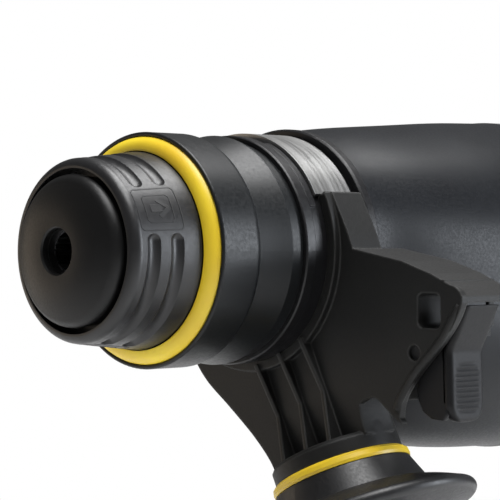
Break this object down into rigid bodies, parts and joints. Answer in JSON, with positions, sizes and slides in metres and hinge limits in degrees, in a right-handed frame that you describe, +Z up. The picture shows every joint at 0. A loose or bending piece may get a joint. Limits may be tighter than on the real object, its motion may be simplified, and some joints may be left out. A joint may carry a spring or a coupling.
{
  "type": "demolition hammer",
  "caption": "Hand-held rotary demolition hammer with a quick-change bit chuck, clamped side handle, in-line motor and D-shaped rear grip with trigger.",
  "frame": {"origin": "centre of the bit socket's mouth, on the tool axis", "axes": "+X forward out of the bit socket along the tool axis, +Y to the operator's left, +Z up with the tool held level"},
  "size_m": [0.391, 0.1613, 0.2345],
  "materials": {
    "dark_housing": "satin moulded nylon, dark blue-grey",
    "bracket_plastic": "matt moulded glass-filled nylon, charcoal",
    "grip_plastic": "satin moulded plastic, charcoal",
    "accent_yellow": "satin yellow plastic",
    "nose_rubber": "soft matt rubber",
    "sleeve_plastic": "satin grey moulded plastic",
    "collar_plastic": "satin dark grey moulded plastic",
    "grip_rubber": "soft matt rubber",
    "steel": "ground steel",
    "strap_steel": "bare spring steel strip",
    "hard_steel": "hardened and oiled steel",
    "barrel_metal": "dark coated die-cast alloy",
    "cast_alloy": "die-cast alloy",
    "laminations": "stacked electrical steel",
    "copper": "copper segments",
    "brass": "pressed brass",
    "carbon": "pressed carbon",
    "fan_plastic": "moulded nylon",
    "seal_rubber": "nitrile rubber"
  },
  "bodies": {
    "root": {"bearing_cover": "grip_plastic", "barrel": "barrel_metal", "case_screws": "steel", "front_seal": "seal_rubber", "spindle_bearings": "steel", "intermediate_bearings": "steel", "gear_case": "dark_housing", "bearing_plate": "cast_alloy", "motor_plate": "cast_alloy", "rotor_bearings": "steel", "fan_baffle": "fan_plastic", "stator": "laminations", "brush_plate": "fan_plastic", "brush_holders": "brass", "carbon_brushes": "carbon", "motor_housing": "dark_housing", "left_handle_shell": "dark_housing", "right_handle_shell": "dark_housing", "handle_screws": "steel", "grip_rubber": "grip_rubber", "switch_body": "fan_plastic", "trigger_pin": "steel", "cord_gland": "grip_rubber"},
    "spindle": {"tool_holder": "hard_steel", "nose_cap": "nose_rubber", "locking_balls": "steel", "sleeve_spring": "steel", "spindle_rings": "steel", "spindle_tube": "hard_steel", "spindle_gear": "hard_steel", "clutch_ring": "hard_steel", "clutch_spring": "steel"},
    "lock_sleeve": {"lock_sleeve": "sleeve_plastic"},
    "chuck_collar": {"chuck_collar": "collar_plastic", "accent_ring": "accent_yellow"},
    "beat_piece": {"beat_piece": "hard_steel"},
    "striker": {"striker": "hard_steel"},
    "piston": {"piston": "hard_steel"},
    "piston_pin": {"piston_pin": "hard_steel"},
    "wobble_ring": {"wobble_ring": "hard_steel"},
    "intermediate_shaft": {"intermediate_shaft": "hard_steel", "intermediate_gear": "hard_steel", "wobble_drum": "hard_steel"},
    "rotor": {"rotor_shaft": "hard_steel", "rotor_core": "laminations", "commutator": "copper", "cooling_fan": "fan_plastic"},
    "mode_knob": {"mode_knob": "grip_plastic"},
    "trigger": {"trigger": "grip_plastic"},
    "lock_on_button": {"lock_on_button": "grip_plastic"},
    "direction_slide": {"direction_slide": "grip_plastic"},
    "side_handle": {"handle_bracket": "bracket_plastic", "clamp_strap": "strap_steel", "strap_anchor": "strap_steel", "grip_bolt": "steel", "lever_pin": "steel", "lever_spring": "steel"},
    "side_grip": {"side_grip": "grip_plastic", "grip_ring": "accent_yellow"},
    "depth_lock_lever": {"depth_lock_lever": "bracket_plastic"}
  },
  "joints": [
    {"name": "rotor_spin", "type": "hinge", "parent": "root", "child": "rotor", "pos_m": [-0.2, 0, -0.011], "axis": [1, 0, 0], "continuous": true},
    {"name": "intermediate_spin", "type": "hinge", "parent": "root", "child": "intermediate_shaft", "pos_m": [-0.13, 0, -0.034], "axis": [1, 0, 0], "continuous": true},
    {"name": "spindle_spin", "type": "hinge", "parent": "root", "child": "spindle", "pos_m": [-0.05, 0, 0], "axis": [1, 0, 0], "continuous": true},
    {"name": "wobble_swing", "type": "hinge", "parent": "root", "child": "wobble_ring", "pos_m": [-0.136, 0, -0.034], "axis": [0, 1, 0], "range_deg": [-11.6, 11.6]},
    {"name": "piston_slide", "type": "slide", "parent": "root", "child": "piston", "axis": [1, 0, 0], "range_m": [-0.007, 0.007]},
    {"name": "piston_pin_turn", "type": "hinge", "parent": "piston", "child": "piston_pin", "pos_m": [-0.136, 0, 0], "axis": [0, 1, 0], "range_deg": [-11.7, 11.7]},
    {"name": "striker_slide", "type": "slide", "parent": "root", "child": "striker", "axis": [1, 0, 0], "range_m": [-0.0015, 0.0035]},
    {"name": "beat_piece_slide", "type": "slide", "parent": "spindle", "child": "beat_piece", "axis": [1, 0, 0], "range_m": [-0.0008, 0.0015]},
    {"name": "lock_sleeve_slide", "type": "slide", "parent": "spindle", "child": "lock_sleeve", "axis": [-1, 0, 0], "range_m": [0, 0.007], "stiffness_N_per_m": 1500, "springref_m": -0.004, "deforming": ["sleeve_spring"]},
    {"name": "chuck_collar_twist", "type": "hinge", "parent": "spindle", "child": "chuck_collar", "pos_m": [-0.03, 0, 0], "axis": [1, 0, 0], "range_deg": [0, 40]},
    {"name": "mode_knob_turn", "type": "hinge", "parent": "root", "child": "mode_knob", "pos_m": [-0.134, -0.05, -0.012], "axis": [0, -1, 0], "range_deg": [-90, 90]},
    {"name": "trigger_pull", "type": "hinge", "parent": "root", "child": "trigger", "pos_m": [-0.358, 0, -0.001], "axis": [0, 1, 0], "range_deg": [0, 8], "stiffness_Nm_per_rad": 0.6, "springref_deg": -20.05},
    {"name": "lock_on_press", "type": "slide", "parent": "root", "child": "lock_on_button", "axis": [0, -1, 0], "range_m": [0, 0.002], "stiffness_N_per_m": 900, "springref_m": -0.002},
    {"name": "direction_push", "type": "slide", "parent": "root", "child": "direction_slide", "axis": [0, 1, 0], "range_m": [-0.0025, 0.0025]},
    {"name": "side_handle_swing", "type": "hinge", "parent": "root", "child": "side_handle", "pos_m": [-0.07, 0, 0], "axis": [1, 0, 0], "continuous": true},
    {"name": "side_grip_turn", "type": "hinge", "parent": "side_handle", "child": "side_grip", "pos_m": [-0.0718, 0, 0], "axis": [0, 0.4305, -0.9026], "continuous": true},
    {"name": "depth_lever_rock", "type": "hinge", "parent": "side_handle", "child": "depth_lock_lever", "pos_m": [-0.075, 0.0594, -0.0263], "axis": [-1, 0, 0], "range_deg": [0, 8], "stiffness_Nm_per_rad": 0.6, "springref_deg": -17.19, "deforming": ["lever_spring"]}
  ],
  "couplings": [
    {"joint": "intermediate_spin", "follows": "rotor_spin", "ratio": -0.21053},
    {"joint": "spindle_spin", "follows": "rotor_spin", "ratio": 0.064777},
    {"joint": "piston_slide", "follows": "wobble_swing", "m_per_rad": 0.0343},
    {"joint": "piston_pin_turn", "follows": "wobble_swing", "ratio": 1}
  ]
}
